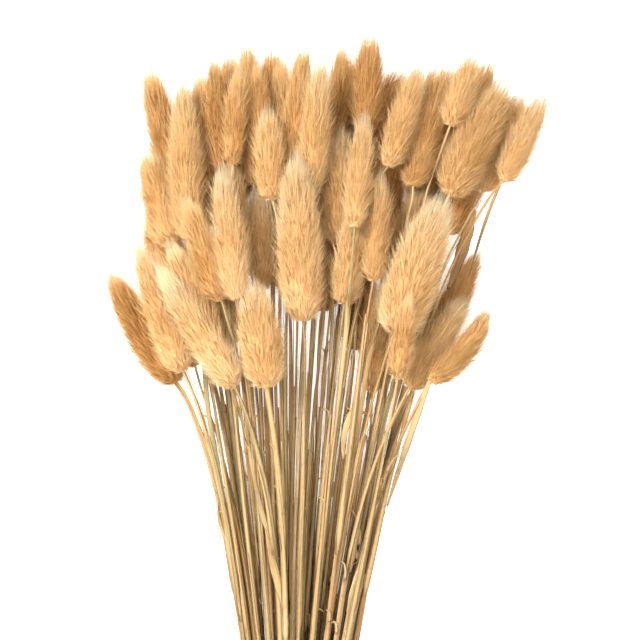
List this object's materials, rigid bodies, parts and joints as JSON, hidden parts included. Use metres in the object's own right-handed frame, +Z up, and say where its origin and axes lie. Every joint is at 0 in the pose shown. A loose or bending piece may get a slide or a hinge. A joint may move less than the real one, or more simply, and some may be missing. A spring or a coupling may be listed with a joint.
{
  "type": "dried bunny tail grass bunch",
  "caption": "Loose fan-shaped bunch of dried bunny tail grass with furry oval seed heads on thin straw stems, tied with plain twine near the cut ends and lying on its side.",
  "frame": {"origin": "middle of the bounding box at its underside, on the surface that the bunch lies on", "axes": "+Y along the bunch from the cut ends to the heads, +X across it to the right with the heads pointing away, +Z up from the surface"},
  "size_m": [0.2204, 0.4562, 0.0728],
  "materials": {
    "dried_grass": "soft matte fur on straw",
    "twine": "rough matte twine"
  },
  "bodies": {
    "root": {"stem_01": "dried_grass", "stem_02": "dried_grass", "stem_03": "dried_grass", "stem_04": "dried_grass", "stem_05": "dried_grass", "stem_06": "dried_grass", "stem_07": "dried_grass", "stem_08": "dried_grass", "stem_09": "dried_grass", "stem_10": "dried_grass", "stem_11": "dried_grass", "stem_12": "dried_grass", "stem_13": "dried_grass", "stem_14": "dried_grass", "stem_15": "dried_grass", "stem_16": "dried_grass", "stem_17": "dried_grass", "stem_18": "dried_grass", "stem_19": "dried_grass", "stem_20": "dried_grass", "stem_21": "dried_grass", "stem_22": "dried_grass", "stem_23": "dried_grass", "stem_24": "dried_grass", "stem_25": "dried_grass", "stem_26": "dried_grass", "stem_27": "dried_grass", "stem_28": "dried_grass", "stem_29": "dried_grass", "stem_30": "dried_grass", "stem_31": "dried_grass", "stem_32": "dried_grass", "stem_33": "dried_grass", "stem_34": "dried_grass", "stem_35": "dried_grass", "stem_36": "dried_grass", "stem_37": "dried_grass", "stem_38": "dried_grass", "stem_39": "dried_grass", "stem_40": "dried_grass", "stem_41": "dried_grass", "stem_42": "dried_grass", "stem_43": "dried_grass", "stem_44": "dried_grass", "stem_45": "dried_grass", "stem_46": "dried_grass", "stem_47": "dried_grass", "stem_48": "dried_grass", "stem_49": "dried_grass", "stem_50": "dried_grass", "stem_51": "dried_grass", "stem_52": "dried_grass", "stem_53": "dried_grass", "stem_54": "dried_grass", "stem_55": "dried_grass", "stem_56": "dried_grass", "stem_57": "dried_grass", "stem_58": "dried_grass", "stem_59": "dried_grass", "tie": "twine"}
  },
  "joints": []
}
